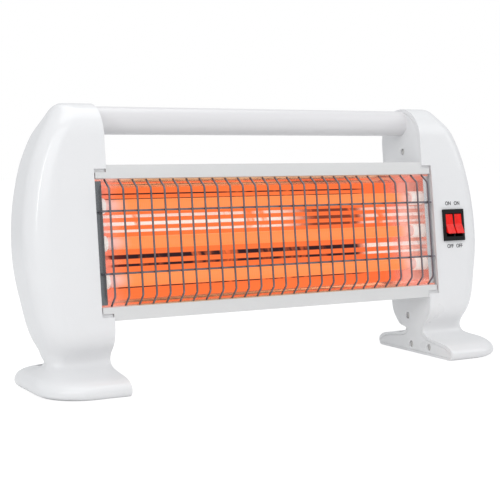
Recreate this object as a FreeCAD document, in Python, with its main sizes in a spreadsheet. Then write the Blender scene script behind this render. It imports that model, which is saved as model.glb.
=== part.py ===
"""Three-bar quartz heater: two moulded end towers on flared feet, a round carrying handle, a sheet-steel
trough with a polished reflector, three quartz elements behind a wire guard, and a twin rocker switch.

Millimetres, +Z up, front towards -Y, origin on the floor midway between the towers.
"""
import FreeCAD, Part
import math
import os
import re

import Sketcher
from FreeCAD import Placement, Rotation, Vector

doc = FreeCAD.newDocument("quartz_heater")

# Driving dimensions
SIZES = [
    ("tower_height", 246.3),
    ("rake_angle", 7.2),
    ("inner_face_x", 168.0),
    ("outer_face_x", 240.0),
    ("tower_half_depth", 32.3),
    ("foot_half_length", 60.5),
    ("waist_height", 23.0),
    ("waist_half_depth", 14.0),
    ("waist_inset", 18.0),
    ("corner_radius", 20.0),
    ("foot_corner_radius", 38.0),
    ("wall", 2.5),
    ("cover_thickness", 2.5),
    ("cover_clearance", 0.2),
    ("overrun", 5.0),
    ("heel_pocket_step", 8.0),
    ("heel_pocket_rim", 12.5),
    ("heel_pocket_inset", 5.5),
    ("heel_pocket_margin", 22.0),
    ("heel_pocket_floor_z", 9.5),
    ("window_inset", 11.3),
    ("notch_back_space", 2.0),
    ("notch_step", 3.4),
    ("screw_cup_diameter", 9.6),
    ("screw_cup_depth", 5.0),
    ("top_screw_y", 2.0),
    ("top_screw_drop", 43.2),
    ("waist_screw_y", 6.5),
    ("waist_screw_z", 37.4),
    ("foot_screw_y", 3.9),
    ("foot_screw_z", 8.8),
    ("toe_screw_y", 24.7),
    ("toe_screw_z", 5.4),
    ("screw_recess_diameter", 6.5),
    ("screw_recess_floor", 1.5),
    ("screw_hole_diameter", 3.6),
    ("screw_head_diameter", 5.8),
    ("screw_head_height", 1.8),
    ("screw_shank_diameter", 2.9),
    ("screw_shank_length", 13.0),
    ("pilot_diameter", 3.0),
    ("pilot_length", 16.0),
    ("boss_diameter", 10.0),
    ("handle_diameter", 24.8),
    ("handle_wall", 2.0),
    ("handle_drop", 14.3),
    ("spigot_clearance", 0.2),
    ("spigot_length", 14.0),
    ("sheet", 0.8),
    ("lip_set_back", 1.3),
    ("housing_set_back", 6.3),
    ("housing_low_z", 55.6),
    ("housing_drop", 56.9),
    ("lip_height", 11.7),
    ("hem_depth", 4.0),
    ("tab_end_gap", 1.3),
    ("tab_height", 5.4),
    ("vent_length", 36.0),
    ("vent_height", 3.5),
    ("vent_pitch_x", 52.0),
    ("vent_pitch_z", 9.0),
    ("reflector_sheet", 0.8),
    ("reflector_end_gap", 1.1),
    ("reflector_set_back", 3.5),
    ("reflector_ridge_y", 7.0),
    ("reflector_curve", 0.73),
    ("cheek_back_y", 6.0),
    ("cheek_sheet", 0.8),
    ("cheek_flange_width", 6.5),
    ("cheek_flange_gap", 2.0),
    ("element_y", 12.0),
    ("element_margin", 22.4),
    ("quartz_diameter", 11.0),
    ("quartz_bore", 8.8),
    ("coil_diameter", 7.6),
    ("cap_diameter", 13.6),
    ("cap_stand_in", 3.5),
    ("cap_seat_depth", 7.0),
    ("cap_clearance", 0.1),
    ("cap_neck_diameter", 6.8),
    ("cap_neck_length", 6.0),
    ("pin_diameter", 2.4),
    ("pin_length", 5.0),
    ("guard_wire", 1.8),
    ("guard_pitch", 13.0),
    ("guard_stand_out", 5.8),
    ("guard_bend_drop", 8.9),
    ("guard_end_set_back", 2.0),
    ("guard_end_gap", 1.2),
    ("guard_bend_radius", 4.0),
    ("guard_rail_offset", 26.75),
    ("guard_rail_reach", 7.0),
    ("guard_weld", 0.3),
    ("seat_gap", 0.3),
    ("bezel_gap", 0.1),
    ("switch_offset", 2.0),
    ("switch_rise", 3.3),
    ("bezel_lip", 1.75),
    ("bezel_thickness", 2.2),
    ("switch_body_width", 22.0),
    ("switch_body_height", 28.0),
    ("switch_body_depth", 20.0),
    ("switch_cutout_clearance", 0.2),
    ("switch_side_wall", 0.9),
    ("switch_end_wall", 2.4),
    ("well_depth", 11.0),
    ("well_wall", 1.4),
    ("rocker_side_gap", 0.2),
    ("rocker_end_gap", 1.6),
    ("rocker_tip_rise", 5.2),
    ("rocker_dip_rise", 3.6),
    ("rocker_back", 2.0),
    ("rocker_pivot_depth", 1.5),
    ("rocker_tilt", 12.0),
    ("trunnion_diameter", 2.5),
    ("trunnion_length", 0.6),
    ("trunnion_clearance", 0.05),
    ("spade_width", 6.3),
    ("spade_thickness", 0.8),
    ("spade_length", 8.0),
    ("spade_pitch_z", 9.0),
    ("tilt_switch_height", 15.0),
    ("tilt_switch_width", 15.0),
    ("tilt_switch_depth", 18.0),
    ("tilt_switch_rise", 20.0),
    ("block_width", 24.0),
    ("block_height", 12.0),
    ("block_depth", 16.0),
    ("block_gap", 1.0),
    ("inlet_rise", 1.4),
    ("inlet_bore", 7.0),
    ("inlet_body_diameter", 10.0),
    ("inlet_flange_diameter", 14.0),
    ("inlet_flange_thickness", 2.0),
    ("inlet_inside_length", 3.0),
]
sheet = doc.addObject("Spreadsheet::Sheet", "sizes")
for row, (alias, value) in enumerate(SIZES, 1):
    sheet.set(f"A{row}", "'" + alias)
    sheet.set(f"B{row}", str(value))
    sheet.setAlias(f"B{row}", alias)
doc.recompute()


# Places that follow from the sizes: heights along the lean, and distances from the middle and to the front
PLACES = {
    "waist_face_x": "outer_face_x - waist_inset",
    "heel_pocket_inner_x": "inner_face_x + heel_pocket_inset",
    "heel_pocket_outer_x": "outer_face_x - heel_pocket_margin",
    "heel_pocket_start_y": "waist_half_depth + heel_pocket_step",
    "heel_pocket_end_y": "foot_half_length - heel_pocket_rim",
    "screw_cup_end_x": "inner_face_x + screw_cup_depth",
    "handle_z": "tower_height - handle_drop",
    "housing_high_z": "tower_height - housing_drop",
    "housing_front_y": "tower_half_depth - lip_set_back",
    "housing_back_y": "tower_half_depth - housing_set_back",
    "window_low_z": "housing_low_z + lip_height",
    "window_high_z": "housing_high_z - lip_height",
    "notch_x": "inner_face_x + window_inset",
    "notch_back_y": "cheek_back_y + notch_back_space",
    "notch_low_z": "housing_low_z + notch_step",
    "notch_high_z": "housing_high_z - notch_step",
    "tab_end_x": "notch_x - tab_end_gap",
    "reflector_end_x": "notch_x - reflector_end_gap",
    "reflector_front_y": "housing_front_y - reflector_set_back",
    "element_middle_z": "(window_low_z + window_high_z) / 2",
    "element_pitch": "(window_high_z - window_low_z) / 2 - element_margin",
    "reflector_radius": "reflector_curve * element_pitch",
    "cap_inner_x": "inner_face_x - cap_stand_in",
    "guard_front_y": "tower_half_depth + guard_stand_out",
    "guard_end_y": "housing_front_y - guard_end_set_back",
    "guard_bend_high_z": "window_high_z - guard_bend_drop",
    "guard_bend_low_z": "window_low_z + guard_bend_drop",
    "guard_rail_high_z": "element_middle_z + guard_rail_offset",
    "guard_rail_low_z": "element_middle_z - guard_rail_offset",
    "guard_rail_end_x": "inner_face_x + guard_rail_reach",
    "switch_x": "(inner_face_x + outer_face_x) / 2 - switch_offset",
    "switch_z": "element_middle_z + switch_rise",
    "bezel_width": "switch_body_width + 2 * bezel_lip",
    "bezel_height": "switch_body_height + 2 * bezel_lip",
    "well_width": "(switch_body_width - well_wall) / 2 - switch_side_wall",
    "well_half_height": "switch_body_height / 2 - switch_end_wall",
    "rocker_width": "well_width - 2 * rocker_side_gap",
    "rocker_half_length": "well_half_height - rocker_end_gap",
    "tilt_switch_low_z": "waist_height + tilt_switch_rise",
    "block_low_z": "tower_height - top_screw_drop + screw_cup_diameter / 2 + block_gap",
    "inlet_x": "(inner_face_x + outer_face_x) / 2",
    "inlet_z": "housing_low_z + inlet_rise",
}


def formula(text):
    """A sum of size and place names as an expression on the spreadsheet."""
    def cell(found):
        name = found.group(0)
        return f"({formula(PLACES[name])})" if name in PLACES else "sizes." + name
    return re.sub(r"[A-Za-z_]\w*", cell, text)


def size(text):
    return float(sheet.evalExpression(formula(text)))


def bind(item, **settings):
    for prop, text in settings.items():
        item.setExpression(prop.replace("__", "."), formula(text))


def box(label, x, y, z, length, width, height):
    """A block from its lowest corner and its three sides, all as formulas."""
    item = doc.addObject("Part::Box", label)
    bind(item, Length=length, Width=width, Height=height)
    bind(item, Placement__Base__x=x, Placement__Base__y=y, Placement__Base__z=z)
    return item


def rod(label, x, y, z, radius, length, axis=Vector(1, 0, 0)):
    """A round bar from (x, y, z) along an axis."""
    item = doc.addObject("Part::Cylinder", label)
    item.Placement = Placement(Vector(), Rotation(Vector(0, 0, 1), axis))
    bind(item, Radius=radius, Height=length)
    bind(item, Placement__Base__x=x, Placement__Base__y=y, Placement__Base__z=z)
    return item


def cut(label, base, tool):
    item = doc.addObject("Part::Cut", label)
    item.Base = base
    item.Tool = tool
    return item


def common(label, base, tool):
    item = doc.addObject("Part::Common", label)
    item.Base = base
    item.Tool = tool
    return item


def fuse(label, items):
    if len(items) == 1:
        return items[0]
    item = doc.addObject("Part::MultiFuse", label)
    item.Shapes = items
    return item


def group(label, items):
    """Several separate solids that make one node."""
    item = doc.addObject("Part::Compound", label)
    item.Links = items
    return item


def mirrored(label, source):
    """The same piece on the other end of the heater."""
    item = doc.addObject("Part::Mirroring", label)
    item.Source = source
    item.Base = Vector(0, 0, 0)
    item.Normal = Vector(1, 0, 0)
    return item


def extruded(label, outline, start, length):
    """A body whose (y, z) outline is padded along X from start; all places are formulas.

    A third item on a point is the radius of the arc from there to the next point, hollow towards the front.
    """
    body = doc.addObject("PartDesign::Body", label + "_body")
    sketch = body.newObject("Sketcher::SketchObject", label + "_outline")
    plane = [f for f in body.Origin.OriginFeatures if f.Role == "YZ_Plane"][0]
    sketch.AttachmentSupport = [(plane, "")]
    sketch.MapMode = "FlatFace"
    count = len(outline)
    places = [Vector(*[size(text) for text in point[:2]]) for point in outline]
    heads = []
    for i, point in enumerate(outline):
        here, there = places[i], places[(i + 1) % count]
        if len(point) == 2:
            sketch.addGeometry(Part.LineSegment(here, there), False)
            heads.append(1)
            continue
        radius = size(point[2])
        chord = (there - here) / 2
        rise = radius - (radius ** 2 - chord.Length ** 2) ** 0.5
        sketch.addGeometry(Part.Arc(here, here + chord + Vector(rise, 0, 0), there), False)
        heads.append(1 if sketch.getPoint(i, 1).isEqual(here, chord.Length) else 2)
        index = sketch.addConstraint(Sketcher.Constraint("Radius", i, radius))
        sketch.setExpression(f"Constraints[{index}]", formula(point[2]))
    for i in range(count):
        following = (i + 1) % count
        sketch.addConstraint(Sketcher.Constraint("Coincident", i, 3 - heads[i], following, heads[following]))
    for i, point in enumerate(outline):
        for kind, text, place in (("DistanceX", point[0], places[i].x), ("DistanceY", point[1], places[i].y)):
            index = sketch.addConstraint(Sketcher.Constraint(kind, -1, 1, i, heads[i], place))
            sketch.setExpression(f"Constraints[{index}]", formula(text))
    pad = body.newObject("PartDesign::Pad", label + "_pad")
    pad.Profile = sketch
    bind(pad, Length=length)
    body.Tip = pad
    bind(body, Placement__Base__x=start)
    return body


finished = []


def piece(item, label):
    """A finished sub-part: leaned back with the whole heater, and written to a file of its name."""
    leaned = doc.addObject("Part::Compound", label)
    leaned.Label = label
    leaned.Links = [item]
    leaned.Placement = Placement(Vector(0, 0, 0), Rotation(Vector(-1, 0, 0), 1.0))
    bind(leaned, Placement__Rotation__Angle="rake_angle")
    finished.append(leaned)
    return item


# End towers: hollow mouldings, lofted through level sections
# Shares of the height up to the waist, and of the foot's flare to the front and to the outside
FOOT_SHARES = [
    (0.00, 0.90, 0.70), (0.07, 0.97, 0.88), (0.22, 1.0, 1.0), (0.35, 0.99, 0.98), (0.48, 0.925, 0.92),
    (0.585, 0.815, 0.82), (0.655, 0.65, 0.69), (0.705, 0.42, 0.52), (0.775, 0.19, 0.31), (0.88, 0.05, 0.10),
    (1.0, 0.0, 0.0),
]
# Shares of the height above the waist, and of the tower's half depth and reach
TOWER_SHARES = [
    (0.024, 0.60, 0.752), (0.0493, 0.79, 0.764), (0.0806, 0.929, 0.796), (0.13, 0.997, 0.85),
    (0.2284, 1.0, 0.919), (0.3269, 1.0, 0.975), (0.4344, 1.0, 1.0), (0.5553, 1.0, 0.982), (0.6314, 1.0, 0.95),
    (0.7076, 1.0, 0.899), (0.7837, 1.0, 0.829), (0.8375, 0.998, 0.758), (0.8822, 0.983, 0.688),
    (0.9225, 0.885, 0.607), (0.9539, 0.737, 0.542), (0.9763, 0.554, 0.493), (0.9919, 0.35, 0.444),
    (1.0, 0.124, 0.389),
]
CORNER_LIMIT_SHARE = 0.85


def tower_levels():
    """(z, half depth, outer x, corner radius) of each level section, from the floor up."""
    inner, waist = size("inner_face_x"), size("waist_height")
    rise, reach = size("tower_height") - waist, size("outer_face_x") - inner
    levels = []
    for height, depth, spread in FOOT_SHARES:
        half = size("waist_half_depth") + depth * (size("foot_half_length") - size("waist_half_depth"))
        outer = size("waist_face_x") + spread * (size("outer_face_x") - size("waist_face_x"))
        corner = size("corner_radius") + depth * (size("foot_corner_radius") - size("corner_radius"))
        limit = CORNER_LIMIT_SHARE * min(half, outer - inner)
        levels.append((height * waist, half, outer, min(corner, limit)))
    for height, depth, spread in TOWER_SHARES:
        half = depth * size("tower_half_depth")
        limit = CORNER_LIMIT_SHARE * min(half, spread * reach)
        corner = min(size("corner_radius"), limit)
        levels.append((waist + height * rise, half, inner + spread * reach, corner))
    return levels


def level_at(levels, z):
    """The section at height z, between the two nearest levels."""
    for low, high in zip(levels[:-1], levels[1:]):
        if z <= high[0]:
            share = max(0.0, (z - low[0]) / (high[0] - low[0]))
            return [a + share * (b - a) for a, b in zip(low, high)]
    return list(levels[-1])


def level_wire(z, half, inner, outer, corner):
    """A level section: square at the inner face, rounded at the two outer corners."""
    turn = corner * (1 - 0.5 ** 0.5)
    front, back = -half, half
    points = [Vector(inner, front, z), Vector(outer - corner, front, z), Vector(outer, front + corner, z),
              Vector(outer, back - corner, z), Vector(outer - corner, back, z), Vector(inner, back, z)]
    edges = [
        Part.LineSegment(points[0], points[1]).toShape(),
        Part.Arc(points[1], Vector(outer - turn, front + turn, z), points[2]).toShape(),
        Part.LineSegment(points[2], points[3]).toShape(),
        Part.Arc(points[3], Vector(outer - turn, back - turn, z), points[4]).toShape(),
        Part.LineSegment(points[4], points[5]).toShape(),
        Part.LineSegment(points[5], points[0]).toShape(),
    ]
    return Part.Wire(edges)


def tower_form(label, inset, inner):
    """The tower's outside, or the same form drawn in by a wall all round but open at the inner face."""
    levels = tower_levels()
    top = levels[-1][0]
    heights = [level[0] for level in levels if inset < level[0] < top - inset]
    heights = [inset] + heights + [top - inset]
    wires = []
    for z in heights:
        here, above = level_at(levels, z), level_at(levels, z + inset)
        half = min(here[1], above[1]) - inset
        outer = min(here[2], above[2]) - inset
        corner = min(here[3] - inset / 2, CORNER_LIMIT_SHARE * min(half, outer - inner))
        wire = level_wire(z, half, inner, outer, corner)
        if z <= size("waist_height"):
            wire.rotate(Vector(0, 0, 0), Vector(1, 0, 0), size("rake_angle"))
        wires.append(wire)
    item = doc.addObject("Part::Feature", label)
    straight_between_levels = inset > 0
    item.Shape = Part.makeLoft(wires, True, straight_between_levels)
    return item


# (y, z) of the cover's screws: one under the handle, one above the waist and two in the foot
SCREWS = [("0 - top_screw_y", "tower_height - top_screw_drop"), ("waist_screw_y", "waist_screw_z"),
          ("foot_screw_y", "foot_screw_z"), ("0 - toe_screw_y", "toe_screw_z")]


def at_screws(label, start, radius, length):
    """One bar on each of the cover's screw axes."""
    return [rod(f"{label}_{index}", start, y, z, radius, length) for index, (y, z) in enumerate(SCREWS)]


block = tower_form("tower_block", 0.0, size("inner_face_x") - size("overrun"))
inner_trim = box("inner_trim", "inner_face_x - 2 * overrun", "0 - 2 * foot_half_length", "0 - waist_height",
                 "2 * overrun", "4 * foot_half_length", "2 * tower_height")
outside = cut("tower_outside", block, inner_trim)
inside = tower_form("tower_inside", size("wall"), size("inner_face_x") - size("overrun"))
foot_block = box("foot_block", "inner_face_x + cover_thickness", "0 - 2 * foot_half_length",
                 "0 - waist_height", "outer_face_x", "4 * foot_half_length", "2 * waist_height")
bosses = at_screws("boss", "screw_cup_end_x", "boss_diameter / 2", "outer_face_x")
cavity = cut("tower_cavity", inside, fuse("solid_in_cavity", [foot_block] + bosses))
walls = cut("tower_walls", outside, cavity)
notch = box("window_notch", "inner_face_x - overrun", "0 - tower_half_depth - overrun", "notch_low_z",
            "notch_x - inner_face_x + overrun", "tower_half_depth + overrun + notch_back_y",
            "notch_high_z - notch_low_z")
heel_pocket = box("heel_pocket", "heel_pocket_inner_x", "heel_pocket_start_y", "heel_pocket_floor_z",
                  "heel_pocket_outer_x - heel_pocket_inner_x", "heel_pocket_end_y - heel_pocket_start_y",
                  "waist_height")
cup_clearances = at_screws("cup_space", "inner_face_x", "screw_cup_diameter / 2 + cover_clearance",
                           "screw_cup_end_x - inner_face_x + cover_clearance")
pilots = at_screws("pilot", "inner_face_x", "pilot_diameter / 2",
                   "screw_cup_end_x - inner_face_x + pilot_length")
plain_tools = fuse("tower_cuts", [notch, heel_pocket] + cup_clearances + pilots)
plain_tower = cut("plain_tower", walls, plain_tools)
piece(mirrored("left_tower", plain_tower), "left_end_shell")

switch_cutout = box(
    "switch_cutout", "switch_x - switch_body_width / 2 - switch_cutout_clearance",
    "0 - tower_half_depth - overrun", "switch_z - switch_body_height / 2 - switch_cutout_clearance",
    "switch_body_width + 2 * switch_cutout_clearance", "overrun + 2 * wall",
    "switch_body_height + 2 * switch_cutout_clearance")
inlet_hole = rod("inlet_hole", "inlet_x", "tower_half_depth - 2 * wall", "inlet_z",
                 "inlet_body_diameter / 2 + cover_clearance", "2 * wall + overrun", Vector(0, 1, 0))
right_tools = fuse("right_tower_cuts", [switch_cutout, inlet_hole])
piece(cut("right_tower", plain_tower, right_tools), "right_end_shell")

# Inner covers: flat plates let into the towers, with screw cups, a window for the trough and a handle spigot
cover_form = tower_form("cover_form", size("wall") + size("cover_clearance"), size("inner_face_x"))
cover_slab = box("cover_slab", "inner_face_x - overrun", "0 - 2 * foot_half_length", "0 - waist_height",
                 "overrun + cover_thickness", "4 * foot_half_length", "2 * tower_height")
plate = common("cover_plate", cover_form, cover_slab)
cups = at_screws("cup", "inner_face_x", "screw_cup_diameter / 2", "screw_cup_end_x - inner_face_x")
spigot_outer = "handle_diameter / 2 - handle_wall - spigot_clearance"
spigot = rod("handle_spigot", "inner_face_x - spigot_length", "0", "handle_z", spigot_outer,
             "spigot_length + cover_thickness")
spigot_bore = rod("handle_spigot_bore", "inner_face_x - spigot_length", "0", "handle_z",
                  "handle_diameter / 2 - 2 * handle_wall - spigot_clearance", "spigot_length")
cup_recesses = at_screws("cup_recess", "inner_face_x - overrun", "screw_recess_diameter / 2",
                         "screw_cup_end_x - inner_face_x - screw_recess_floor + overrun")
cup_holes = at_screws("cup_hole", "inner_face_x", "screw_hole_diameter / 2",
                      "screw_cup_end_x - inner_face_x + overrun")
cover_body = fuse("cover_body", [plate, spigot] + cups)
cover_cuts = fuse("cover_cuts", [notch, spigot_bore] + cup_recesses + cup_holes)
right_cover = piece(cut("right_cover", cover_body, cover_cuts), "right_inner_cover")
piece(mirrored("left_cover", right_cover), "left_inner_cover")

# Cover screws: pan heads at the bottom of the cups
heads = at_screws("screw_head", "screw_cup_end_x - screw_recess_floor - screw_head_height",
                  "screw_head_diameter / 2", "screw_head_height")
shanks = at_screws("screw_shank", "screw_cup_end_x - screw_recess_floor", "screw_shank_diameter / 2",
                   "screw_shank_length")
right_screws = [fuse(f"cover_screw_{i}", [head, shank]) for i, (head, shank) in enumerate(zip(heads, shanks))]
left_screws = [mirrored(f"left_cover_screw_{i}", screw) for i, screw in enumerate(right_screws)]
piece(group("screws", right_screws + left_screws), "cover_screws")

# Handle: a plain tube held between the covers on their spigots
handle_outer = rod("handle_outer", "0 - inner_face_x", "0", "handle_z", "handle_diameter / 2",
                   "2 * inner_face_x")
handle_bore = rod("handle_bore", "0 - inner_face_x - overrun", "0", "handle_z",
                  "handle_diameter / 2 - handle_wall", "2 * inner_face_x + 2 * overrun")
piece(cut("handle", handle_outer, handle_bore), "handle_tube")

# Housing: one folded steel sheet with a hemmed lip above and below the window, end tabs and rear vents
LIP_FRONT, LIP_BACK = "0 - housing_front_y", "sheet - housing_front_y"
HEM = "hem_depth - housing_front_y"
housing = extruded("housing", [
    (LIP_FRONT, "window_high_z"), (LIP_FRONT, "housing_high_z"), ("housing_back_y", "housing_high_z"),
    ("housing_back_y", "housing_low_z"), (LIP_FRONT, "housing_low_z"), (LIP_FRONT, "window_low_z"),
    (HEM, "window_low_z"), (HEM, "window_low_z - sheet"), (LIP_BACK, "window_low_z - sheet"),
    (LIP_BACK, "housing_low_z + sheet"), ("housing_back_y - sheet", "housing_low_z + sheet"),
    ("housing_back_y - sheet", "housing_high_z - sheet"), (LIP_BACK, "housing_high_z - sheet"),
    (LIP_BACK, "window_high_z + sheet"), (HEM, "window_high_z + sheet"), (HEM, "window_high_z"),
], "0 - inner_face_x", "2 * inner_face_x")
tabs = []
for side, start in (("right", "inner_face_x"), ("left", "0 - tab_end_x")):
    for edge, low in (("upper", "window_high_z"), ("lower", "window_low_z - tab_height")):
        tabs.append(box(f"tab_{side}_{edge}", start, LIP_FRONT, low, "tab_end_x - inner_face_x", "sheet",
                        "tab_height"))
VENT_COLUMNS, VENT_ROWS = 5, 3
vents = []
for column in range(VENT_COLUMNS):
    for level in range(VENT_ROWS):
        vents.append(box(
            f"vent_{column}_{level}", f"{column - VENT_COLUMNS // 2} * vent_pitch_x - vent_length / 2",
            "housing_back_y - overrun", f"housing_high_z - {level + 2} * vent_pitch_z",
            "vent_length", "2 * overrun", "vent_height"))
piece(cut("housing_vented", fuse("housing_tabbed", [housing] + tabs), fuse("vents", vents)), "housing_panel")

# Reflector: a polished sheet with a hollow behind each element, and a wing to each lip
ELEMENTS = [("upper", "element_middle_z + element_pitch"), ("middle", "element_middle_z"),
            ("lower", "element_middle_z - element_pitch")]
WING_Y, RIDGE_Y = "0 - reflector_front_y", "0 - reflector_ridge_y"
RIDGE_BACK_Y = "reflector_sheet - reflector_ridge_y"
RIDGE_TOP, RIDGE_HIGH = "element_middle_z + 1.5 * element_pitch", "element_middle_z + 0.5 * element_pitch"
RIDGE_LOW, RIDGE_FOOT = "element_middle_z - 0.5 * element_pitch", "element_middle_z - 1.5 * element_pitch"
reflector_outline = [
    (WING_Y, "window_high_z - reflector_sheet"), (RIDGE_Y, RIDGE_TOP, "reflector_radius"),
    (RIDGE_Y, RIDGE_HIGH, "reflector_radius"), (RIDGE_Y, RIDGE_LOW, "reflector_radius"),
    (RIDGE_Y, RIDGE_FOOT), (WING_Y, "window_low_z + reflector_sheet"), (WING_Y, "window_low_z"),
    (RIDGE_BACK_Y, RIDGE_FOOT + " - reflector_sheet", "reflector_radius"),
    (RIDGE_BACK_Y, RIDGE_LOW, "reflector_radius"), (RIDGE_BACK_Y, RIDGE_HIGH, "reflector_radius"),
    (RIDGE_BACK_Y, RIDGE_TOP + " + reflector_sheet"), (WING_Y, "window_high_z"),
]
reflector = extruded("reflector_trough", reflector_outline, "0 - reflector_end_x", "2 * reflector_end_x")
piece(reflector, "reflector")

# End cheeks: plates that close the trough and carry the elements, each with a turned front flange
cheek_outline = [(WING_Y, "window_low_z"), ("cheek_back_y", RIDGE_FOOT), ("cheek_back_y", RIDGE_TOP),
                 (WING_Y, "window_high_z")]
cheek_plate = extruded("cheek", cheek_outline, "reflector_end_x", "cheek_sheet")
flange = box("cheek_flange", "reflector_end_x - cheek_flange_width", "0 - reflector_front_y",
             "window_low_z + cheek_flange_gap", "cheek_flange_width", "cheek_sheet",
             "window_high_z - window_low_z - 2 * cheek_flange_gap")
AXIS_Y = "0 - element_y"
neck_holes = [rod(f"neck_hole_{name}", "reflector_end_x - overrun", AXIS_Y, z,
                  "cap_neck_diameter / 2 + cap_clearance", "2 * overrun") for name, z in ELEMENTS]
cheek = fuse("cheek_flanged", [cheek_plate, flange])
right_cheek = piece(cut("cheek_bored", cheek, fuse("neck_holes", neck_holes)), "right_end_cheek")
piece(mirrored("cheek_mirrored", right_cheek), "left_end_cheek")

# Elements: a heating coil in a quartz tube, seated in a ceramic cap at each end
TUBE_END = "(cap_inner_x + cap_seat_depth - cap_clearance)"
COIL_END = "(cap_inner_x + cap_seat_depth - seat_gap)"
caps, pins = [], []
for name, z in ELEMENTS:
    tube = rod(f"tube_{name}", f"0 - {TUBE_END}", AXIS_Y, z, "quartz_diameter / 2", f"2 * {TUBE_END}")
    bore = rod(f"tube_bore_{name}", "0 - reflector_end_x", AXIS_Y, z, "quartz_bore / 2",
               "2 * reflector_end_x")
    piece(cut(f"tube_hollow_{name}", tube, bore), f"quartz_tube_{name}")
    coil = rod(f"coil_{name}", f"0 - {COIL_END}", AXIS_Y, z, "coil_diameter / 2", f"2 * {COIL_END}")
    piece(coil, f"heating_coil_{name}")
    cup = rod(f"cap_cup_{name}", "cap_inner_x", AXIS_Y, z, "cap_diameter / 2",
              "reflector_end_x - cap_inner_x")
    neck = rod(f"cap_neck_{name}", "reflector_end_x", AXIS_Y, z, "cap_neck_diameter / 2", "cap_neck_length")
    socket = rod(f"cap_socket_{name}", "cap_inner_x - overrun", AXIS_Y, z,
                 "quartz_diameter / 2 + cap_clearance", "cap_seat_depth + overrun")
    caps.append(cut(f"cap_{name}", fuse(f"cap_solid_{name}", [cup, neck]), socket))
    pins.append(rod(f"pin_{name}", "reflector_end_x + cap_neck_length", AXIS_Y, z, "pin_diameter / 2",
                    "pin_length"))
right_caps = piece(group("caps_right", caps), "right_ceramic_caps")
piece(mirrored("caps_left", right_caps), "left_ceramic_caps")
right_pins = piece(group("pins_right", pins), "right_element_pins")
piece(mirrored("pins_left", right_pins), "left_element_pins")


# Wire guard: upright wires cranked back to the lips, welded to two rails
GUARD_SIDE_WIRES = int(size("(guard_rail_end_x - guard_bend_radius) / guard_pitch"))


def bent_wire(points, radius, thickness):
    """A round wire along straight runs joined by tangent arcs."""
    edges, start = [], points[0]
    for before, corner, after in zip(points[:-2], points[1:-1], points[2:]):
        into, out = (corner - before).normalize(), (after - corner).normalize()
        angle = into.getAngle(out)
        reach = radius * math.tan(angle / 2)
        first, last = corner - into * reach, corner + out * reach
        bisector = (out - into).normalize()
        centre = corner + bisector * (radius ** 2 + reach ** 2) ** 0.5
        edges.append(Part.LineSegment(start, first).toShape())
        edges.append(Part.Arc(first, centre - bisector * radius, last).toShape())
        start = last
    edges.append(Part.LineSegment(start, points[-1]).toShape())
    path = Part.Wire(edges)
    ring = Part.Wire([Part.Circle(points[0], points[1] - points[0], thickness / 2).toShape()])
    return path.makePipeShell([ring], True, False)


def guard_shape():
    wire, front = size("guard_wire"), -size("guard_front_y")
    end_y = -size("guard_end_y")
    low, high = size("window_low_z + guard_end_gap"), size("window_high_z - guard_end_gap")
    upright = bent_wire([Vector(0, end_y, high), Vector(0, front, size("guard_bend_high_z")),
                         Vector(0, front, size("guard_bend_low_z")), Vector(0, end_y, low)],
                        size("guard_bend_radius"), wire)
    solids = []
    for index in range(-GUARD_SIDE_WIRES, GUARD_SIDE_WIRES + 1):
        copy = upright.copy()
        copy.translate(Vector(index * size("guard_pitch"), 0, 0))
        solids.append(copy)
    rail_y, end_x = front + wire - size("guard_weld"), size("guard_rail_end_x")
    back = -size("reflector_front_y") - size("seat_gap")
    for z in (size("guard_rail_low_z"), size("guard_rail_high_z")):
        solids.append(bent_wire([Vector(-end_x, back, z), Vector(-end_x, rail_y, z), Vector(end_x, rail_y, z),
                                 Vector(end_x, back, z)], size("guard_bend_radius"), wire))
    return solids[0].multiFuse(solids[1:])


guard = doc.addObject("Part::Feature", "guard")
guard.Shape = guard_shape()
piece(guard, "wire_guard")

# Twin rocker switch: a bezel and box pushed through the right tower's front, with two wells for the rockers
SWITCH_FACE = "0 - tower_half_depth - bezel_gap"
bezel = box("bezel", "switch_x - bezel_width / 2", "0 - tower_half_depth - bezel_gap - bezel_thickness",
            "switch_z - bezel_height / 2", "bezel_width", "bezel_thickness", "bezel_height")
switch_box = box("switch_box", "switch_x - switch_body_width / 2", SWITCH_FACE,
                 "switch_z - switch_body_height / 2", "switch_body_width", "switch_body_depth",
                 "switch_body_height")
PIVOT_Y = "rocker_pivot_depth - tower_half_depth"
ROCKERS = [("inner", "switch_x - well_wall / 2 - well_width / 2"),
           ("outer", "switch_x + well_wall / 2 + well_width / 2")]
wells = []
for name, x in ROCKERS:
    wells.append(box(f"well_{name}", f"{x} - well_width / 2",
                     "0 - tower_half_depth - bezel_thickness - overrun", "switch_z - well_half_height",
                     "well_width", "overrun + bezel_thickness + well_depth", "2 * well_half_height"))
trunnion_hole = rod("trunnion_hole", "switch_x - switch_body_width", PIVOT_Y, "switch_z",
                    "trunnion_diameter / 2 + trunnion_clearance", "2 * switch_body_width")
switch_solid = fuse("switch_solid", [bezel, switch_box])
piece(cut("switch_housing", switch_solid, fuse("switch_cuts", wells + [trunnion_hole])), "switch_body")

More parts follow.
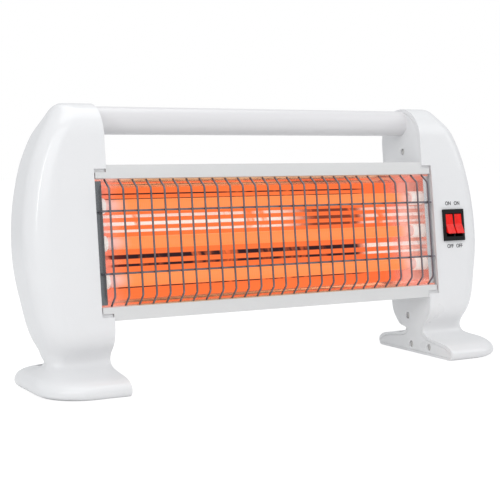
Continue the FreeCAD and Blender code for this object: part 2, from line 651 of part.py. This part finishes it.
# Rockers: dished caps on moulded trunnions, stored with the upper half pressed
TIP, DIP, BACK = "0 - rocker_tip_rise", "0 - rocker_dip_rise", "rocker_back"
for name, x in ROCKERS:
    cap = extruded(f"rocker_cap_{name}", [
        (TIP, "rocker_half_length"), (DIP, "0"), (TIP, "0 - rocker_half_length"),
        (BACK, "0 - rocker_half_length / 2"), (BACK, "rocker_half_length / 2"),
    ], f"{x} - rocker_width / 2", "rocker_width")
    cap.Placement = Placement(Vector(), Rotation(Vector(-1, 0, 0), 1.0))
    bind(cap, Placement__Rotation__Angle="rocker_tilt", Placement__Base__x=f"{x} - rocker_width / 2",
         Placement__Base__y=PIVOT_Y, Placement__Base__z="switch_z")
    trunnion = rod(f"trunnion_{name}", f"{x} - rocker_width / 2 - trunnion_length", PIVOT_Y, "switch_z",
                   "trunnion_diameter / 2", "rocker_width + 2 * trunnion_length")
    piece(fuse(f"rocker_solid_{name}", [cap, trunnion]), f"rocker_{name}")

# Switch spades: two per rocker, behind the box
spades = []
for name, x in ROCKERS:
    for index in (-1, 1):
        spades.append(box(f"spade_{name}_{index + 1}", f"{x} - spade_width / 2",
                          "switch_body_depth - tower_half_depth",
                          f"switch_z + {index} * spade_pitch_z / 2 - spade_thickness / 2", "spade_width",
                          "spade_length", "spade_thickness"))
piece(group("spades", spades), "switch_terminals")

# Tip-over switch and terminal block: fixed to the back of the right cover
BEHIND_COVER = "inner_face_x + cover_thickness"
piece(box("tilt_switch", BEHIND_COVER, "0 - tilt_switch_depth / 2", "tilt_switch_low_z",
          "tilt_switch_width", "tilt_switch_depth", "tilt_switch_height"), "tip_over_switch")
piece(box("block", BEHIND_COVER, "0 - block_width / 2", "block_low_z", "block_depth", "block_width",
          "block_height"), "terminal_block")

# Cord inlet: a flanged bush in the back of the right tower
bush_flange = rod("bush_flange", "inlet_x", "tower_half_depth + seat_gap", "inlet_z",
                  "inlet_flange_diameter / 2", "inlet_flange_thickness", Vector(0, 1, 0))
bush_body = rod("bush_body", "inlet_x", "tower_half_depth - wall - inlet_inside_length", "inlet_z",
                "inlet_body_diameter / 2", "wall + inlet_inside_length + seat_gap", Vector(0, 1, 0))
bush_bore = rod("bush_bore", "inlet_x", "0", "inlet_z", "inlet_bore / 2", "2 * tower_half_depth",
                Vector(0, 1, 0))
piece(cut("bush", fuse("bush_solid", [bush_flange, bush_body]), bush_bore), "cord_inlet_bush")

doc.recompute()
for item in doc.Objects:
    if {"Invalid", "Error"} & set(item.State):
        raise RuntimeError(f"{item.Label} failed: {item.State}")
for item in finished:
    if item.Shape.isNull() or not item.Shape.isValid() or not item.Shape.Solids:
        raise RuntimeError(f"{item.Label} has no valid solid")

os.makedirs("parts", exist_ok=True)
for item in finished:
    item.Shape.exportStep(f"parts/{item.Label}.step")
    print(item.Label, len(item.Shape.Solids), round(item.Shape.Volume, 1))
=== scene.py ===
"""A quartz heater on a white studio floor: glowing elements behind a wire guard, between two towers."""
import math

import bpy
from mathutils import Matrix, Vector


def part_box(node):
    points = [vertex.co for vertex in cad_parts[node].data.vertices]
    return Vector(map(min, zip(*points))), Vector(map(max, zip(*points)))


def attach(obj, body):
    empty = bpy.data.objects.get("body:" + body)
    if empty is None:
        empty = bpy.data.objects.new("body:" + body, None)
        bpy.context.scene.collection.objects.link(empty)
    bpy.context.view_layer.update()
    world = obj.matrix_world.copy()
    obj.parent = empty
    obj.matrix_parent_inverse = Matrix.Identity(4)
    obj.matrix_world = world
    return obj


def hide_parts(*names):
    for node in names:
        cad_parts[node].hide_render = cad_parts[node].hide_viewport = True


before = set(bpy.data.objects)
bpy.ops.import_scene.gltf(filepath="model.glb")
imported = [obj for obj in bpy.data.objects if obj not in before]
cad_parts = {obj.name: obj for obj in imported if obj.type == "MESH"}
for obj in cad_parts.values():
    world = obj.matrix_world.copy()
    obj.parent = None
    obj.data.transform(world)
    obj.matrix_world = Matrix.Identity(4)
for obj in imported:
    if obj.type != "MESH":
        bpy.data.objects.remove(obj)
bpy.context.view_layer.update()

# Floor, room and lamps.
# A sheet of white paper in a white room. The camera sees both close to pure white, and the heater is lit by
# a softer room, three broad lamps and a narrow strip that draws a highlight down the left tower.
ROOM_COLOUR, ROOM_STRENGTH = (0.96, 0.98, 1.0, 1), 0.66
BACKDROP_COLOUR, BACKDROP_STRENGTH = (1, 1, 1, 1), 1.0
PAPER_HALF_SIDE, PAPER_COLOUR, PAPER_ROUGHNESS = 6.0, (0.9, 0.9, 0.9, 1), 0.9
PAPER_GLOW, PAPER_GLOW_SHARE = 1.16, 0.78
LAMP_AIM = Vector((0, 0, 0.12))
LAMPS = [
    # Name, place, width and height, power.
    ("front_lamp", (-0.9, -1.5, 1.5), (1.6, 1.6), 12.0),
    ("right_lamp", (1.6, -0.9, 1.1), (1.2, 1.2), 5.5),
    ("top_lamp", (0.1, 0.3, 1.9), (1.5, 1.5), 9.5),
    ("strip_lamp", (-1.3, -0.7, 0.8), (0.06, 0.8), 2.5),
]


class Number:
    """A node's output. Sums on it add Math nodes."""

    def __init__(self, tree, socket):
        self.tree, self.socket = tree, socket

    def sum_with(self, operation, first, second):
        made = self.tree.nodes.new("ShaderNodeMath")
        made.operation = operation
        for slot, item in zip(made.inputs, (first, second)):
            if isinstance(item, Number):
                self.tree.links.new(item.socket, slot)
            else:
                slot.default_value = item
        return Number(self.tree, made.outputs[0])

    def __add__(self, other):
        return self.sum_with("ADD", self, other)

    __radd__ = __add__

    def __sub__(self, other):
        return self.sum_with("SUBTRACT", self, other)

    def __rsub__(self, other):
        return self.sum_with("SUBTRACT", other, self)

    def __mul__(self, other):
        return self.sum_with("MULTIPLY", self, other)

    __rmul__ = __mul__


class Nodes:
    """A node tree, and the one way that any node but a sum is added to it."""

    def __init__(self, tree):
        self.tree = tree

    def node(self, kind, settings=None, output=0, **sockets):
        """Adds a node: first its settings, then a value or a link on each socket that is named.

        A socket is written with _ for a space, or as _ and its number.
        """
        made = self.tree.nodes.new(kind)
        for name, value in (settings or {}).items():
            setattr(made, name, value)
        for name, value in sockets.items():
            slot = made.inputs[int(name[1:])] if name[1:].isdigit() else made.inputs[name.replace("_", " ")]
            if isinstance(value, Number):
                self.tree.links.new(value.socket, slot)
            else:
                slot.default_value = value
        return Number(self.tree, made.outputs[output])

    def seen_by_camera(self):
        return self.node("ShaderNodeLightPath", output="Is Camera Ray")

    def end(self, output_node, shader):
        """Feeds the finished shader to the tree's output."""
        self.tree.links.new(shader.socket, self.tree.nodes[output_node].inputs["Surface"])


class Finish(Nodes):
    """A material built from nodes on one Principled shader."""

    def __init__(self, name, **constants):
        self.material = bpy.data.materials.new(name)
        self.material.use_nodes = True
        super().__init__(self.material.node_tree)
        self.shader = self.tree.nodes["Principled BSDF"]
        for socket, value in constants.items():
            self.shader.inputs[socket.replace("_", " ")].default_value = value

    def feed(self, **links):
        """Links values that change over the surface to the shader's sockets."""
        for socket, value in links.items():
            self.tree.links.new(value.socket, self.shader.inputs[socket.replace("_", " ")])

    def place(self, stretch=(1, 1, 1)):
        """Object coordinates, stretched to suit a pattern."""
        spot = self.node("ShaderNodeTexCoord", output="Object")
        return self.node("ShaderNodeMapping", Vector=spot, Scale=stretch)

    def leaned(self, axis):
        """A place along X, or up or into the leaning heater."""
        spot = self.node("ShaderNodeTexCoord", output="Object")
        upright = self.node("ShaderNodeMapping", Vector=spot, Rotation=(math.radians(HEATER_LEAN), 0, 0))
        return self.node("ShaderNodeSeparateXYZ", output=axis, Vector=upright)

    def noise(self, scale, detail=3.0, stretch=(1, 1, 1)):
        return self.node("ShaderNodeTexNoise", output="Fac", Vector=self.place(stretch), Scale=scale,
                         Detail=detail)

    def between(self, mask, low, high):
        """A colour that runs from low to high with the mask."""
        ends = [colour if isinstance(colour, Number) else colour + (1,) for colour in (low, high)]
        return self.node("ShaderNodeMix", {"data_type": "RGBA"}, output=2, _0=mask, _6=ends[0], _7=ends[1])

    def step(self, value, start, end):
        """0 up to start, 1 from end, smooth between. A start above the end runs the other way."""
        low, high = sorted((start, end))
        return self.node("ShaderNodeMapRange", {"interpolation_type": "SMOOTHSTEP"}, Value=value,
                         From_Min=low, From_Max=high, To_Min=float(start > end), To_Max=float(end > start))

    def apart(self, value, middle):
        """How far a value is from a middle, either way."""
        return self.node("ShaderNodeMath", {"operation": "ABSOLUTE"}, _0=value - middle)

    def bump(self, height, strength, distance):
        return self.node("ShaderNodeBump", Height=height, Strength=strength, Distance=distance)

    def on(self, *nodes):
        """Puts the finish on carried-over solids."""
        for name in nodes:
            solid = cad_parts[name]
            solid.data.materials.clear()
            solid.data.materials.append(self.material)


def in_scene(name, data):
    """A new object in the scene, at the origin."""
    thing = bpy.data.objects.new(name, data)
    bpy.context.scene.collection.objects.link(thing)
    return thing


world = bpy.data.worlds.new("white_room")
bpy.context.scene.world = world
world.use_nodes = True
room = Nodes(world.node_tree)
soft_room = room.node("ShaderNodeBackground", Color=ROOM_COLOUR, Strength=ROOM_STRENGTH)
backdrop = room.node("ShaderNodeBackground", Color=BACKDROP_COLOUR, Strength=BACKDROP_STRENGTH)
mixed_room = room.node("ShaderNodeMixShader", _0=room.seen_by_camera(), _1=soft_room, _2=backdrop)
room.end("World Output", mixed_room)

paper = Finish("floor_paper", Base_Color=PAPER_COLOUR, Roughness=PAPER_ROUGHNESS)
lit_paper = Number(paper.tree, paper.shader.outputs[0])
white_paper = paper.node("ShaderNodeEmission", Strength=PAPER_GLOW)
white_share = PAPER_GLOW_SHARE * paper.seen_by_camera()
mixed_paper = paper.node("ShaderNodeMixShader", _0=white_share, _1=lit_paper, _2=white_paper)
paper.end("Material Output", mixed_paper)
paper_corners = [(x * PAPER_HALF_SIDE, y * PAPER_HALF_SIDE, 0)
                 for x, y in ((-1, -1), (1, -1), (1, 1), (-1, 1))]
floor_mesh = bpy.data.meshes.new("floor")
floor_mesh.from_pydata(paper_corners, [], [(0, 1, 2, 3)])
floor_mesh.materials.append(paper.material)
floor = in_scene("floor", floor_mesh)

for name, spot, (width, height), power in LAMPS:
    lamp = bpy.data.lights.new(name, "AREA")
    lamp.shape, lamp.size, lamp.size_y, lamp.energy = "RECTANGLE", width, height, power
    stand = in_scene(name, lamp)
    stand.location = spot
    stand.rotation_euler = (LAMP_AIM - Vector(spot)).to_track_quat("-Z", "Y").to_euler()

# Camera.
# About half a metre left of the heater's middle and a metre in front, a little below the handle. Its lens
# comes from the focal length in pixels that fits the photograph.
CAMERA_SPOT, CAMERA_YAW, CAMERA_PITCH = (-0.5638, -0.9646, 0.2081), 29.31, -4.97
FOCAL_PIXELS, PICTURE_PIXELS, SENSOR_WIDTH = 1200.0, 500.0, 36.0
lens = bpy.data.cameras.new("camera")
lens.sensor_width = SENSOR_WIDTH
lens.lens = FOCAL_PIXELS / PICTURE_PIXELS * SENSOR_WIDTH
camera = in_scene("camera", lens)
camera.location = CAMERA_SPOT
camera.rotation_euler = (math.radians(90 + CAMERA_PITCH), 0, math.radians(-CAMERA_YAW))
bpy.context.scene.camera = camera
bpy.context.scene.view_settings.view_transform = "Standard"

# End towers and inner covers.
# Thick white mouldings with a high gloss, which lean back on level feet: a bulged cup on a flared foot,
# closed by a flat plate that is held by screws at the bottom of deep cups.
HEATER_LEAN = 7.2
LEAN_BACK = Matrix.Rotation(math.radians(-HEATER_LEAN), 4, "X")
MOULDING_WHITES = (0.76, 0.76, 0.77), (0.80, 0.80, 0.805)
white = Finish("white_moulding", Coat_Weight=0.35, Coat_Roughness=0.08, IOR=1.48)
white.feed(Base_Color=white.between(white.noise(scale=9.0), *MOULDING_WHITES),
           Roughness=0.24 + 0.12 * white.noise(scale=30.0),
           Normal=white.bump(white.noise(scale=420.0, detail=2.0), strength=0.05, distance=0.0004))
white.on("left_end_shell", "right_end_shell", "left_inner_cover", "right_inner_cover")

# Window returns.
# A thin white wall moulded inside each tower, just past the window's notch, with an ear behind the slot over
# each tab of the housing's lips. They hide the tower's hollow.
RETURN_X, RETURN_THICKNESS = 0.1796, 0.0010
RETURN_FRONT, RETURN_BACK, RETURN_LOW, RETURN_HIGH = -0.0296, -0.0176, 0.0560, 0.1890
EAR_ACROSS, EAR_HEIGHT = (0.1682, RETURN_X), 0.0065
EAR_DEEP = (RETURN_FRONT, RETURN_FRONT + RETURN_THICKNESS)
RETURN_WALLS = [
    # Across, deep and up.
    ((RETURN_X, RETURN_X + RETURN_THICKNESS), (RETURN_FRONT, RETURN_BACK), (RETURN_LOW, RETURN_HIGH)),
    (EAR_ACROSS, EAR_DEEP, (RETURN_LOW, RETURN_LOW + EAR_HEIGHT)),
    (EAR_ACROSS, EAR_DEEP, (RETURN_HIGH - EAR_HEIGHT, RETURN_HIGH)),
]
BOX_FACES = [(0, 1, 3, 2), (4, 6, 7, 5), (0, 4, 5, 1), (2, 3, 7, 6), (0, 2, 6, 4), (1, 5, 7, 3)]
for side, name in ((-1, "left_window_return"), (1, "right_window_return")):
    corners, faces = [], []
    for across, deep, up in RETURN_WALLS:
        faces += [tuple(len(corners) + corner for corner in face) for face in BOX_FACES]
        corners += [Vector((side * x, y, z)) for x in across for y in deep for z in up]
    return_mesh = bpy.data.meshes.new(name)
    return_mesh.from_pydata(corners, [], faces)
    if side < 0:
        return_mesh.flip_normals()
    return_mesh.transform(LEAN_BACK)
    return_mesh.materials.append(white.material)
    wall = in_scene(name, return_mesh)
    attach(wall, "heater")

# Cover screws and element pins.
# Plain steel pan heads at the bottom of the covers' cups, and the pins behind the ceramic caps, all dull
# from plating.
PLATED_GREYS = (0.60, 0.59, 0.57), (0.80, 0.79, 0.77)
dull_steel = Finish("dull_steel", Metallic=1.0)
dull_steel.feed(Base_Color=dull_steel.between(dull_steel.noise(scale=300.0), *PLATED_GREYS),
                Roughness=0.32 + 0.2 * dull_steel.noise(scale=500.0))
dull_steel.on("cover_screws", "left_element_pins", "right_element_pins")

# Handle.
# A white tube between the towers, held on spigots of the inner covers. It is extruded, so its faint marks
# run along it.
HANDLE_WHITES = (0.70, 0.69, 0.70), (0.74, 0.73, 0.74)
tube_white = Finish("handle_white", Coat_Weight=0.2, Coat_Roughness=0.12, IOR=1.48)
drawn = tube_white.noise(scale=60.0, detail=4.0, stretch=(0.06, 1, 1))
tube_white.feed(Base_Color=tube_white.between(drawn, *HANDLE_WHITES), Roughness=0.30 + 0.12 * drawn,
                Normal=tube_white.bump(drawn, strength=0.04, distance=0.0003))
tube_white.on("handle_tube")

# Housing.
# One folded steel sheet, stove enamelled, with a slight orange peel under the gloss. The tabs of its lips go
# into slots in the towers.
ENAMEL_WHITES = (0.66, 0.66, 0.66), (0.71, 0.71, 0.705)
enamel = Finish("white_enamel", Coat_Weight=0.25, Coat_Roughness=0.15, IOR=1.5)
peel = enamel.noise(scale=700.0, detail=2.0)
enamel.feed(Base_Color=enamel.between(enamel.noise(scale=14.0), *ENAMEL_WHITES),
            Roughness=0.32 + 0.14 * peel,
            Normal=enamel.bump(peel, strength=0.08, distance=0.0003))
enamel.on("housing_panel")

# Reflector.
# Thin bright-rolled sheet between the cheeks, wavy, with painted reflections: an orange tint for the glowing
# elements, and lines that are pale in some stretches and dark in others. A faint painted glow stands for the
# light that it scatters.
# Painted reflections: pale and dark lines along the sheet, each at a height and with a half width.
PALE_REFLECTION_LINES = [(0.1466, 0.0017), (0.1397, 0.0020), (0.1334, 0.0014)]
DARK_REFLECTION_LINES = [(0.1105, 0.0024), (0.1030, 0.0014)]
THIN_DARK_REFLECTION_LINES = [(0.1662, 0.0007), (0.1618, 0.0006), (0.0834, 0.0006)]
LINE_CORE_SHARE, FADED_SHARE, COOL_DULL_SHARE = 0.6, 0.8, 0.4
BREAKUP_FROM_TO = 0.30, 0.48
RIGHT_HALF_X, RIGHT_END_X = (0.01, 0.06), (0.102, 0.120)
COOL_END_X, RIGHT_TINT_X = (0.135, 0.165), (-0.02, 0.14)
# Painted reflection of the glowing elements: orange tints, lighter on the left than on the right.
LEFT_GLOW_REFLECTION_TINTS = (0.92, 0.59, 0.37), (1.0, 0.71, 0.47)
RIGHT_GLOW_REFLECTION_TINTS = (0.90, 0.55, 0.38), (0.98, 0.66, 0.48)
# The end tint and the dark and pale line colours are painted reflections, and the glows are painted light.
END_GLOW_REFLECTION_TINT, DARK_REFLECTION, PALE_REFLECTION = (0.98, 0.72, 0.64), (0.03, 0.018, 0.015), (0.93, 0.92, 0.91)
HOT_GLOW, COOL_GLOW, PALE_REFLECTION_GLOW = (0.0, 0.012, 0.02), (0.15, 0.015, 0.010), (0.27, 0.25, 0.24)
mirror = Finish("bright_sheet", Emission_Strength=1.0)
along, up = mirror.leaned("X"), mirror.leaned("Z")


def reflector_lines(places):
    """A mask of lines along the sheet, each at a height and with a half width and soft edges."""
    return sum(mirror.step(mirror.apart(up, middle), half, LINE_CORE_SHARE * half)
               for middle, half in places)


rolled = mirror.noise(scale=240.0, stretch=(0.02, 1, 1))
waves = mirror.noise(scale=26.0, detail=2.0, stretch=(0.25, 1, 1))
reflection_breakup = mirror.step(mirror.noise(scale=60.0, stretch=(1, 0.3, 0.3)), *BREAKUP_FROM_TO)
pale_reflection_lines, dark_reflection_lines = reflector_lines(PALE_REFLECTION_LINES), reflector_lines(DARK_REFLECTION_LINES)
thin_dark_reflection_lines = reflector_lines(THIN_DARK_REFLECTION_LINES)
right_half, right_end = mirror.step(along, *RIGHT_HALF_X), mirror.step(along, *RIGHT_END_X)
cool_end = mirror.step(mirror.apart(along, 0.0), *COOL_END_X)
# Painted reflections: the pale lines fade on the right, where the dark lines turn pale, all broken up in
# stretches.
pale = (pale_reflection_lines * (1.0 - right_half + FADED_SHARE * right_end) + dark_reflection_lines * right_end) * reflection_breakup
dark = ((dark_reflection_lines + thin_dark_reflection_lines) * (1.0 - right_end)
        + pale_reflection_lines * (right_half - right_end) * FADED_SHARE) * reflection_breakup
# The orange tint is painted reflection of the glowing elements, salmon towards the ends.
glow_reflection_tint = mirror.between(mirror.step(along, *RIGHT_TINT_X), mirror.between(rolled, *LEFT_GLOW_REFLECTION_TINTS),
                          mirror.between(rolled, *RIGHT_GLOW_REFLECTION_TINTS))
tint = mirror.between(dark, mirror.between(cool_end, glow_reflection_tint, END_GLOW_REFLECTION_TINT), DARK_REFLECTION)
sheet_glow = mirror.between(cool_end, HOT_GLOW, COOL_GLOW)
mirror.feed(Base_Color=mirror.between(pale, tint, PALE_REFLECTION),
            Metallic=1.0 - pale - COOL_DULL_SHARE * cool_end * (1.0 - pale),
            Roughness=0.06 + 0.10 * rolled,
            Emission_Color=mirror.between(pale, sheet_glow, PALE_REFLECTION_GLOW),
            Normal=mirror.bump(waves, strength=0.25, distance=0.0012))
mirror.on("reflector")

# End cheeks.
# Zinc-coated sheet plates with a satin face, which close the trough's ends and hold the ceramic caps. The
# left one is painted a darker grey, as painted shade, because less light reaches it.
# The left cheek's dark grey is painted shade, and the right one keeps a plain zinc grey.
CHEEK_SHADED_AND_PLAIN_GREYS, RIGHT_CHEEK_X = ((0.24, 0.25, 0.26), (0.74, 0.74, 0.75)), (-0.05, 0.05)
zinc = Finish("zinc_sheet", Metallic=1.0)
satin = zinc.noise(scale=180.0, stretch=(1, 1, 0.1))
zinc.feed(Base_Color=zinc.between(zinc.step(zinc.leaned("X"), *RIGHT_CHEEK_X), *CHEEK_SHADED_AND_PLAIN_GREYS),
          Roughness=0.20 + 0.12 * satin)
zinc.on("left_end_cheek", "right_end_cheek")

# Heating coils.
# Resistance wire wound close along each tube, glowing orange, with a straight cold lead to each cap. The
# tree winds a coil from its sizes, once for each element.
COIL_TURNS, COIL_RADIUS, COIL_WIRE = 170, 0.0033, 0.0010
COIL_STEPS, WIRE_SIDES = 14, 6
GLOW_HALF, LEAD_END = 0.1620, 0.1710
WIRE_ORANGES = (0.9, 0.22, 0.03), (1.0, 0.36, 0.07)
WIRE_GLOWS = (1.0, 0.12, 0.018), (1.0, 0.17, 0.035)
LEAD_GREYS = (0.30, 0.28, 0.27), (0.46, 0.44, 0.42)
hot_wire = Finish("glowing_wire", Roughness=0.6, Emission_Strength=1.5)
heat = hot_wire.noise(scale=40.0, detail=2.0, stretch=(0.3, 1, 1))
hot_wire.feed(Base_Color=hot_wire.between(heat, *WIRE_ORANGES),
              Emission_Color=hot_wire.between(heat, *WIRE_GLOWS))
cold_lead = Finish("cold_lead", Metallic=1.0)
cold_lead.feed(Base_Color=cold_lead.between(cold_lead.noise(scale=300.0), *LEAD_GREYS),
               Roughness=0.35 + 0.2 * cold_lead.noise(scale=500.0))
COIL_INPUTS = [
    # Name, kind of socket, value.
    ("Turns", "NodeSocketFloat", float(COIL_TURNS)),
    ("Coil Radius", "NodeSocketFloat", COIL_RADIUS),
    ("Wire Radius", "NodeSocketFloat", COIL_WIRE / 2),
    ("Half Length", "NodeSocketFloat", GLOW_HALF),
    ("Lead End", "NodeSocketFloat", LEAD_END),
    ("Hot", "NodeSocketMaterial", hot_wire.material),
    ("Cold", "NodeSocketMaterial", cold_lead.material),
]


def coil_tree():
    """A coil wound along X, with a straight lead at each end. Gives the tree and its inputs' identifiers."""
    tree = bpy.data.node_groups.new("wound_coil", "GeometryNodeTree")
    identifiers = [tree.interface.new_socket(name, in_out="INPUT", socket_type=kind).identifier
                   for name, kind, value in COIL_INPUTS]
    tree.interface.new_socket("Geometry", in_out="OUTPUT", socket_type="NodeSocketGeometry")
    start, end = tree.nodes.new("NodeGroupInput"), tree.nodes.new("NodeGroupOutput")
    given = {name: Number(tree, start.outputs[name]) for name, kind, value in COIL_INPUTS}
    half_length, coil_radius = given["Half Length"], given["Coil Radius"]
    winder = Nodes(tree)
    spiral = winder.node("GeometryNodeCurveSpiral", Resolution=COIL_STEPS, Rotations=given["Turns"],
                         Start_Radius=coil_radius, End_Radius=coil_radius, Height=2.0 * half_length)
    lowered = winder.node("GeometryNodeTransform", Geometry=spiral,
                          Translation=winder.node("ShaderNodeCombineXYZ", Z=-1.0 * half_length))
    laid = winder.node("GeometryNodeTransform", Geometry=lowered, Rotation=(0.0, math.pi / 2, 0.0))
    runs = [(laid, given["Hot"])]
    for sign in (-1.0, 1.0):
        near = winder.node("ShaderNodeCombineXYZ", X=sign * half_length)
        far = winder.node("ShaderNodeCombineXYZ", X=sign * given["Lead End"])
        runs.append((winder.node("GeometryNodeCurvePrimitiveLine", Start=near, End=far), given["Cold"]))
    ring = winder.node("GeometryNodeCurvePrimitiveCircle", Resolution=WIRE_SIDES,
                       Radius=given["Wire Radius"])
    joined = winder.node("GeometryNodeJoinGeometry")
    for run, finish in runs:
        swept = winder.node("GeometryNodeCurveToMesh", Curve=run, Profile_Curve=ring, Fill_Caps=True)
        smooth = winder.node("GeometryNodeSetShadeSmooth", Geometry=swept)
        dressed = winder.node("GeometryNodeSetMaterial", Geometry=smooth, Material=finish)
        tree.links.new(dressed.socket, joined.socket.node.inputs[0])
    real = winder.node("GeometryNodeRealizeInstances", Geometry=joined)
    tree.links.new(real.socket, end.inputs[0])
    return tree, identifiers


def plain_mesh(thing):
    """The mesh that an object's modifiers or letters give. The object itself is removed."""
    bpy.context.view_layer.update()
    ready = thing.evaluated_get(bpy.context.evaluated_depsgraph_get())
    mesh = bpy.data.meshes.new_from_object(ready)
    bpy.data.objects.remove(thing)
    return mesh


coil_nodes, coil_identifiers = coil_tree()
for level in ("upper", "middle", "lower"):
    low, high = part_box("heating_coil_" + level)
    blank = in_scene("coil_blank_" + level, bpy.data.meshes.new("coil_blank_" + level))
    winding = blank.modifiers.new("winding", "NODES")
    winding.node_group = coil_nodes
    for identifier, (name, kind, value) in zip(coil_identifiers, COIL_INPUTS):
        winding[identifier] = value
    coil_mesh = plain_mesh(blank)
    coil_mesh.transform(Matrix.Translation((low + high) / 2))
    coil = in_scene("wound_coil_" + level, coil_mesh)
    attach(coil, "heater")
    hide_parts("heating_coil_" + level)

# Quartz tubes.
# Satin quartz, with the coil's light spread over the whole tube painted on as a glow, the turns faintly
# painted into it, and pale cold ends with a faint painted glow. Each tube is held by a ceramic cap at either
# end.
TURN_PITCH = 2 * GLOW_HALF / COIL_TURNS
WAVE_PERIOD = math.pi / 10  # one band of a Wave Texture at a scale of 1
BLOOM_SHARE = 0.75
HOT_STRETCH_X = 0.163, 0.140
COLD_QUARTZ, HOT_QUARTZ = (0.80, 0.74, 0.71), (0.22, 0.07, 0.03)
# Painted glow: the coil's light as the quartz would spread it, with the turns faintly in it.
COLD_LIGHT, HOT_LIGHTS = (0.20, 0.06, 0.05), ((1.0, 0.23, 0.055), (1.0, 0.36, 0.12))
quartz = Finish("satin_quartz", Transmission_Weight=0.25, IOR=1.3, Emission_Strength=0.85)
bloom = quartz.noise(scale=50.0, stretch=(0.1, 1, 1))
hot = quartz.step(quartz.apart(quartz.leaned("X"), 0.0), *HOT_STRETCH_X)
turns = quartz.node("ShaderNodeTexWave", output="Fac", Vector=quartz.place(), Scale=WAVE_PERIOD / TURN_PITCH)
hot_light = quartz.between(BLOOM_SHARE * bloom + (1 - BLOOM_SHARE) * turns, *HOT_LIGHTS)
quartz.feed(Base_Color=quartz.between(hot, COLD_QUARTZ, HOT_QUARTZ),
            Emission_Color=quartz.between(hot, COLD_LIGHT, hot_light),
            Roughness=0.25 + 0.15 * bloom)
quartz.on("quartz_tube_upper", "quartz_tube_middle", "quartz_tube_lower")

# Ceramic caps.
# Unglazed white steatite, a little stained by heat, pushed on the tubes and held in the cheeks. A faint glow
# stands for the light that comes through from the tubes.
STEATITE_WHITES = (0.78, 0.74, 0.68), (0.9, 0.88, 0.85)
steatite = Finish("white_steatite", Emission_Color=(1.0, 0.90, 0.86, 1), Emission_Strength=0.28)
grain = steatite.noise(scale=900.0)
steatite.feed(Base_Color=steatite.between(steatite.noise(scale=120.0), *STEATITE_WHITES),
              Roughness=0.6 + 0.2 * grain, Normal=steatite.bump(grain, strength=0.2, distance=0.0002))
steatite.on("left_ceramic_caps", "right_ceramic_caps")

# Wire guard.
# Plated steel wire, bent at both ends and welded at the crossings: dark grey, with brighter and darker runs.
# Its ends sit behind the housing's lips.
WIRE_GREYS = (0.12, 0.115, 0.14), (0.27, 0.26, 0.29)
wire = Finish("plated_wire", Metallic=1.0)
wire.feed(Base_Color=wire.between(wire.noise(scale=90.0), *WIRE_GREYS),
          Roughness=0.24 + 0.16 * wire.noise(scale=400.0))
wire.on("wire_guard")

# Switch body, cord bush and the closed modules.
# Black moulded plastic with a fine spark-eroded grain. The switch's bezel shows on the right tower's face,
# the bush at its back, and the modules are inside.
MOULDING_BLACKS = (0.004, 0.004, 0.004), (0.009, 0.009, 0.010)
black = Finish("black_moulding", IOR=1.3)
spark = black.noise(scale=1600.0, detail=2.0)
black.feed(Base_Color=black.between(black.noise(scale=60.0), *MOULDING_BLACKS), Roughness=0.38 + 0.2 * spark,
           Normal=black.bump(spark, strength=0.15, distance=0.0002))
black.on("switch_body", "cord_inlet_bush", "tip_over_switch", "terminal_block")

# Rockers.
# Clear red caps lit from behind while the heater is on, slightly uneven on the face. Each turns on its
# trunnions in the switch body.
ROCKER_REDS = (0.40, 0.004, 0.003), (0.62, 0.010, 0.006)
ROCKER_LIGHTS = (0.60, 0.003, 0.001), (1.0, 0.012, 0.006)
red = Finish("clear_red", Coat_Weight=0.25, Coat_Roughness=0.05, Roughness=0.2, IOR=1.25,
             Emission_Strength=0.4)
inside = red.noise(scale=160.0, detail=2.0)
red.feed(Base_Color=red.between(inside, *ROCKER_REDS), Emission_Color=red.between(inside, *ROCKER_LIGHTS),
         Normal=red.bump(red.noise(scale=420.0, detail=2.0), strength=0.5, distance=0.0010))
red.on("rocker_inner", "rocker_outer")

# Switch spades.
# Stamped brass tabs at the back of the switch, hidden inside the right tower.
BRASS_YELLOWS = (0.62, 0.44, 0.18), (0.80, 0.62, 0.32)
brass = Finish("stamped_brass", Metallic=1.0)
brass.feed(Base_Color=brass.between(brass.noise(scale=200.0), *BRASS_YELLOWS),
           Roughness=0.3 + 0.15 * brass.noise(scale=600.0))
brass.on("switch_terminals")

# Switch words.
# Small dark print on the right tower's leaning face, above and below the rockers. The letters are a little
# narrower than the type they are set in.
TOWER_FACE_Y = -0.0323
PRINT_LIFT, PRINT_SIZE, PRINT_WEIGHT, PRINT_NARROW_SHARE = 0.00015, 0.0052, 0.00009, 0.88
WORDS = [
    # Name, word, place across, place up.
    ("on_inner", "ON", 0.1975, 0.1474),
    ("on_outer", "ON", 0.2085, 0.1474),
    ("off_inner", "OFF", 0.1972, 0.1046),
    ("off_outer", "OFF", 0.2085, 0.1046),
]
INK_GREYS = (0.012, 0.012, 0.015), (0.03, 0.03, 0.035)
ink = Finish("dark_print")
ink.feed(Base_Color=ink.between(ink.noise(scale=900.0), *INK_GREYS),
         Roughness=0.5 + 0.2 * ink.noise(scale=500.0))
STAND_UP = Matrix.Rotation(math.pi / 2, 4, "X") @ Matrix.Diagonal((PRINT_NARROW_SHARE, 1, 1, 1))
for name, word, across, up in WORDS:
    letters = bpy.data.curves.new("letters_" + name, "FONT")
    letters.body, letters.size, letters.offset = word, PRINT_SIZE, PRINT_WEIGHT
    letters.align_x, letters.align_y = "CENTER", "CENTER"
    print_mesh = plain_mesh(in_scene("setting_" + name, letters))
    print_mesh.transform(LEAN_BACK @ Matrix.Translation((across, TOWER_FACE_Y - PRINT_LIFT, up)) @ STAND_UP)
    print_mesh.materials.clear()
    print_mesh.materials.append(ink.material)
    printed = in_scene("print_" + name, print_mesh)
    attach(printed, "heater")
